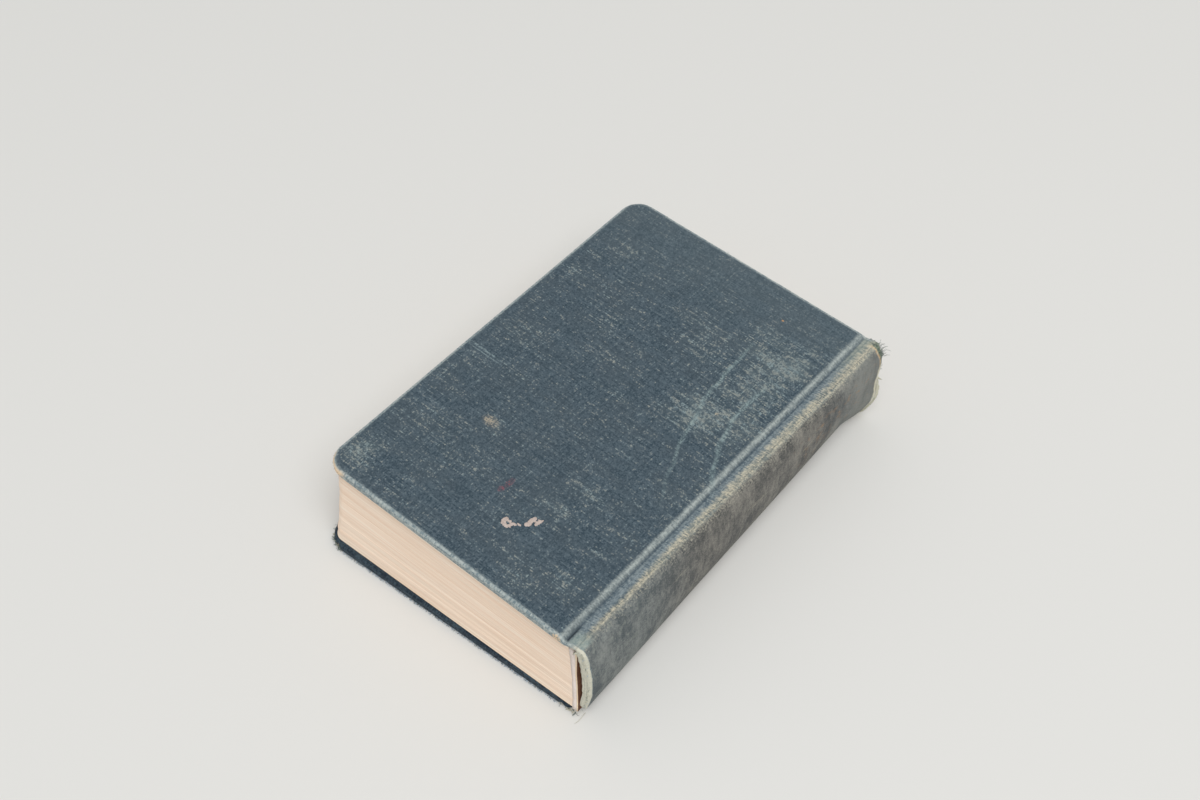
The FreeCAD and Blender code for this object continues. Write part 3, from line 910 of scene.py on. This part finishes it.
def lining_strip(name, low, high, material, end_inset=0.0):
    """Paper on the leaves' back, between two distances from it, thickest at the front cover."""
    back, end = cover_width + back_low, half_height - square - end_inset
    bm = plate((back + low, -end), (back + high, end), 1.0)
    cut_lines(bm, "z", spaced(0, 1, 0.06))
    cut_lines(bm, "y", spaced(-end, end, 10.0))
    for v in bm.verts:
        share = 0.96 * v.co.z - 0.03
        x = back + (v.co.x - back) * (1 + 0.5 * smooth(v.co.z * 2.5 - 1.5))
        v.co = leaf_point(x, v.co.y, share)
    bmesh.ops.recalc_face_normals(bm, faces=bm.faces)
    piece = object_from(bm, name, material)
    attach(piece, "block")
    return piece


# Building

def build_case():
    whole = case_cloth()
    material = cloth_material()
    front = part_of_case(whole, "front_cover_cloth", -1, joint_end, material)
    spine = part_of_case(whole, "spine_cloth_cover", joint_end, case_width - joint_end, material)
    back = part_of_case(whole, "back_cover_cloth", case_width - joint_end, case_width + 1, material)
    whole.free()
    for piece, side, top in ((front, "front", True), (back, "back", False)):
        start, stop = (to_row @ cover_point(x, 0, 0, top) for x in (board_edge, joint_end - 0.4))
        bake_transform(piece, side + "_cover", "block", start=start, end=stop)
        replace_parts(piece, side + "_cloth")
    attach(spine, "block")
    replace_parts(spine, "spine_cloth")


def dress_nodes():
    board = plain_material("millboard", paint(196, 160, 118), paint(172, 146, 116), 400)
    paper = plain_material("endpaper", paint(222, 202, 168), paint(232, 216, 188), 120)
    gauze = plain_material("gauze", paint(214, 204, 184), paint(190, 180, 158), 900)
    lining = plain_material("lining_paper", paint(248, 236, 228), paint(234, 221, 212), 300)
    brown = plain_material("glued_paper", paint(122, 84, 62), paint(96, 64, 48), 300)
    cream = plain_material("lining_edge_paper", paint(255, 238, 210), paint(246, 220, 188), 300)
    wanted = {"board": board, "pastedown": paper, "flyleaf": paper, "mull": gauze}
    for name, node in frame["nodes"].items():
        for word, material in wanted.items():
            if name.endswith(word):
                node.data.materials.clear()
                node.data.materials.append(material)
    spine_strip(board)
    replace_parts(lining_strip("spine_lining_paper", 0.02, 1.9, lining), "spine_lining")
    lining_strip("spine_lining_edge", 1.92, 2.3, cream)
    lining_strip("spine_lining_back", 2.32, 2.45, brown, end_inset=0.3)
    return paper


# Loose threads, torn cloth and the scrap of paper

def threads_piece(name, body, materials, count, seed, place, length, radius, curl):
    """Many loose threads, all drawn out together in short steps, curling a little at each one.
    place takes a random generator and gives a root and a heading."""
    draw = random.Random(seed)
    bm = bmesh.new()
    number = bm.verts.layers.int.new("thread")
    headings, step_lengths, tones, verts = [], [], [], []
    steps = 6
    for index in range(count):
        root, heading = place(draw)
        turn = heading.to_track_quat("Z", "Y").to_matrix().to_4x4()
        made = bmesh.ops.create_circle(bm, cap_ends=True, segments=5, radius=radius * draw.uniform(0.7, 1.2),
                                       matrix=Matrix.Translation(root) @ turn)
        for v in made["verts"]:
            v[number] = index
        verts += made["verts"]
        headings.append(heading.normalized())
        step_lengths.append(draw.uniform(*length) / steps)
        tones.append(draw.randrange(len(materials)))
    edges = bm.edges[:]
    for step in range(steps):
        drawn = bmesh.ops.extrude_edge_only(bm, edges=edges)
        edges, verts = only_edges(drawn), only_verts(drawn)
        for index in range(count):
            turned = headings[index] + Vector([draw.uniform(-curl, curl) for _ in range(3)])
            headings[index] = turned.normalized()
        for v in verts:
            v.co += headings[v[number]] * step_lengths[v[number]]
    tips = [[] for _ in range(count)]
    for v in verts:
        tips[v[number]].append(v)
    for ring in tips:
        tip = sum((v.co for v in ring), Vector()) / len(ring)
        for v in ring:
            v.co = tip
    for face in bm.faces:
        face.material_index = tones[face.verts[0][number]]
    bmesh.ops.remove_doubles(bm, verts=verts, dist=1e-5)
    for v in bm.verts:
        v.co.z = max(v.co.z, 0.02)
    bmesh.ops.recalc_face_normals(bm, faces=bm.faces)
    piece = object_from(bm, name, materials[0])
    for material in materials[1:]:
        piece.data.materials.append(material)
    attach(piece, body)


def back_corner_place(draw):
    angle = math.radians(draw.uniform(176, 268))
    outwards = Vector((math.cos(angle), math.sin(angle), 0))
    root = Vector((cover_corner_radius, cover_corner_radius - half_height, draw.uniform(0.3, 3.2)))
    return root + outwards * (cover_corner_radius - 0.4), outwards + Vector((0, 0, draw.uniform(-0.5, 0.6)))


def back_fringe_place(draw):
    x = draw.uniform(cover_corner_radius, board_edge)
    root = Vector((x, -half_height + 0.1, draw.uniform(0.15, 1.1)))
    return root, Vector((draw.uniform(-0.7, 0.7), -1.0, draw.uniform(-0.4, 0.1)))


def back_joint_place(draw):
    root = Vector((draw.uniform(board_edge, joint_end + 2), -half_height + 0.4, draw.uniform(0.3, 2.2)))
    return root, Vector((draw.uniform(-0.8, 0.8), -1.0, draw.uniform(-0.3, 0.4)))


def spine_end_place(side, low, high):
    """Roots along the end of the spine, between two places across the cloth."""
    def place(draw):
        s = draw.uniform(low, high)
        y = side * (half_height - 0.3)
        root = case_point(s, y, draw.uniform(0.0, 0.35))
        out = root - case_point(s, y, 1.0)
        return root, Vector((0, side * 1.0, 0)) + out.normalized() * draw.uniform(-0.2, 1.1)
    return place


def front_corner_place(draw):
    angle = math.radians(draw.uniform(170, 265))
    outwards = Vector((math.cos(angle), math.sin(angle), 0))
    centre = Vector((cover_corner_radius, cover_corner_radius - half_height, 0))
    flat_root = centre + outwards * (cover_corner_radius - 0.2)
    root = cover_point(flat_root.x, flat_root.y, draw.uniform(0.5, 3.0), True)
    return root, outwards + Vector((0, 0, draw.uniform(-0.6, 0.3)))


def torn_flap(material):
    """A strip of torn cloth that stands out from the low half of the spine's far end."""
    bm = bmesh.new()
    start, stop, rows, columns = case_width / 2 - 4, case_width - joint_end - 1.0, 6, 56
    bmesh.ops.create_grid(bm, x_segments=columns, y_segments=rows, size=0.5)
    for v in bm.verts:
        along, out = v.co.x + 0.5, v.co.y + 0.5
        s = start + (stop - start) * along
        quick = noise.noise(Vector((s / 0.7, 0, 5.0)))
        ragged = 2.0 + 1.0 * noise.noise(Vector((s / 2.3, 0, 3.0))) + 0.9 * quick
        reach = 0.55 * out * (ragged + 0.8 * along) * smooth(along * 5) * smooth((1 - along) * 9)
        sag = 0.5 * out * noise.noise(Vector((s / 3.0, out, 9.0)))
        root = case_point(s, half_height - 1.0, 0.0, 0.1)
        v.co = root + Vector((sag + 0.4 * reach, 0.9 * reach, -0.2 * reach))
        v.co.z = max(v.co.z, 0.1)
    bmesh.ops.recalc_face_normals(bm, faces=bm.faces)
    bmesh.ops.solidify(bm, geom=bm.faces[:], thickness=0.25)
    piece = object_from(bm, "spine_torn_flap", material)
    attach(piece, "block")


def paper_scrap(material):
    """A torn scrap of paper stuck to the front cover: two blobs joined by a thin strip, with holes."""
    blobs = [(69.3, -66.8, 2.3, 1.7), (67.9, -66.4, 1.1, 1.6), (71.6, -65.5, 1.1, 0.5),
             (73.0, -64.5, 1.0, 0.4), (75.0, -62.6, 0.9, 0.9), (75.6, -60.4, 1.2, 2.3),
             (77.4, -59.6, 0.9, 1.6), (78.2, -58.4, 0.4, 1.1)]
    holes = [(69.4, -66.6, 0.8, 0.5), (76.5, -60.9, 0.45, 0.8), (74.0, -63.6, 0.25, 0.7),
             (76.6, -58.9, 0.35, 0.5)]
    bm = bmesh.new()
    corner, size, cell_size = Vector((66.0, -70.0)), Vector((13.5, 14.0)), 0.2
    columns, rows = round(size.x / cell_size), round(size.y / cell_size)
    bmesh.ops.create_grid(bm, x_segments=columns, y_segments=rows, size=0.5)
    for v in bm.verts:
        v.co = Vector((corner.x + size.x * (v.co.x + 0.5), corner.y + size.y * (v.co.y + 0.5), 0))

    def covers(shapes, place, ragged):
        return any(math.hypot((place.x - x) / wide, (place.y - y) / high) < 1 + ragged
                   for x, y, wide, high in shapes)

    bare = []
    for face in bm.faces:
        place = face.calc_center_median()
        ragged = 0.35 * noise.noise(Vector((place.x / 0.7, place.y / 0.7, 1.0)))
        if not covers(blobs, place, ragged) or covers(holes, place, ragged):
            bare.append(face)
    bmesh.ops.delete(bm, geom=bare, context="FACES")
    for v in bm.verts:
        v.co = case_point(v.co.x, v.co.y, 0, dents(v.co.x, v.co.y) + 0.04 + 0.03 * noise.noise(v.co))
    bmesh.ops.recalc_face_normals(bm, faces=bm.faces)
    bmesh.ops.solidify(bm, geom=bm.faces[:], thickness=0.12)
    piece = object_from(bm, "paper_scrap", material)
    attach(piece, "front_cover")


def hanging_place(draw):
    """The one long thread that hangs at the spine's near end."""
    return Vector((124.6, -half_height + 2.6, 0.8)), Vector((0.15, -1.0, -0.1))


def build_wear():
    dark = plain_material("dark_threads", paint(50, 68, 70), paint(84, 102, 96), 900)
    green = plain_material("green_threads", paint(84, 104, 98), paint(132, 146, 132), 900)
    cream = plain_material("cream_threads", paint(184, 182, 162), paint(208, 200, 178), 900)
    blue = plain_material("pale_blue_threads", paint(150, 168, 184), paint(196, 208, 218), 900)
    scrap = plain_material("torn_paper", paint(208, 193, 184), paint(178, 161, 152), 700)
    near, far = -1, 1
    spine_low = joint_end + spine_run
    far_edge = spine_end_place(far, 15, joint_end - 5)
    near_end = spine_end_place(near, joint_end - 3, spine_low)
    far_corner = spine_end_place(far, joint_end, joint_end + 9)
    far_shoulder = spine_end_place(far, joint_end - 3, joint_end + 9)
    far_low_end = spine_end_place(far, joint_end + 8, spine_low)
    for name, body, materials, count, place, length, radius, curl in (
            ("back_corner_threads", "back_cover", [dark, green, dark, cream], 120, back_corner_place,
             (0.4, 1.9), 0.08, 0.7),
            ("back_edge_fringe", "back_cover", [blue, blue, blue, dark], 520, back_fringe_place,
             (0.3, 1.1), 0.07, 0.4),
            ("back_joint_threads", "block", [green, cream, dark, cream], 30, back_joint_place,
             (0.6, 2.0), 0.09, 0.6),
            ("hanging_thread", "block", [cream], 1, hanging_place, (6.0, 6.0), 0.1, 0.25),
            ("front_corner_threads", "front_cover", [green, cream, blue], 34, front_corner_place,
             (0.3, 0.9), 0.06, 0.5),
            ("front_far_threads", "front_cover", [cream, green], 14, far_edge, (0.3, 0.9), 0.06, 0.6),
            ("spine_near_threads", "block", [green, cream, blue], 40, near_end, (0.3, 1.1), 0.07, 0.6),
            ("spine_far_corner_threads", "block", [dark, green, dark], 18, far_corner, (1.6, 5.4), 0.08, 0.7),
            ("spine_far_short_threads", "block", [dark, dark, green], 70, far_shoulder,
             (0.3, 1.2), 0.09, 0.8),
            ("spine_far_threads", "block", [dark, green, cream], 30, far_low_end, (0.4, 2.0), 0.07, 0.8)):
        seed = len(name)
        threads_piece(name, body, materials, count, seed, place, length, radius, curl)
    torn_flap(plain_material("torn_cloth", paint(176, 178, 160), paint(212, 208, 188), 500))
    paper_scrap(scrap)


def build_leaves(paper):
    block = leaves()
    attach(block, "block")
    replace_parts(block, "page_block")
    for top in (True, False):
        endpaper_joint(top, paper)


def floor():
    bpy.ops.mesh.primitive_plane_add(size=6.0)
    plane = bpy.context.object
    plane.name = "floor"
    f = Finish("pale_floor", roughness=0.7)
    f.surface.inputs["Base Color"].default_value = paint(227, 226, 222)
    plane.data.materials.append(f.material)


def light(name, place, aim, size, power):
    data = bpy.data.lights.new(name, "AREA")
    data.shape = "DISK"
    data.size = size
    data.energy = power
    lamp = bpy.data.objects.new(name, data)
    lamp.location = place
    lamp.rotation_euler = (Vector(aim) - Vector(place)).to_track_quat("-Z", "Y").to_euler()
    bpy.context.scene.collection.objects.link(lamp)


def studio():
    scene = bpy.context.scene
    scene.view_settings.view_transform = "Standard"
    world = bpy.data.worlds.new("soft_room")
    world.use_nodes = True
    background = world.node_tree.nodes["Background"]
    background.inputs["Color"].default_value = (0.98, 0.99, 1.0, 1.0)
    background.inputs["Strength"].default_value = 0.5
    scene.world = world
    light("window", (1.3, -0.9, 3.2), (0, 0, 0.02), 2.6, 78.0)
    data = bpy.data.cameras.new("camera")
    data.lens = 50.0
    data.sensor_width = 36.0
    camera = bpy.data.objects.new("camera", data)
    camera.location = to_row @ Vector((309.85, -316.03, 521.97))
    camera.rotation_euler = (math.radians(40.07), 0, math.radians(38.02))
    scene.collection.objects.link(camera)
    scene.camera = camera


build_case()
build_leaves(dress_nodes())
build_wear()
floor()
studio()
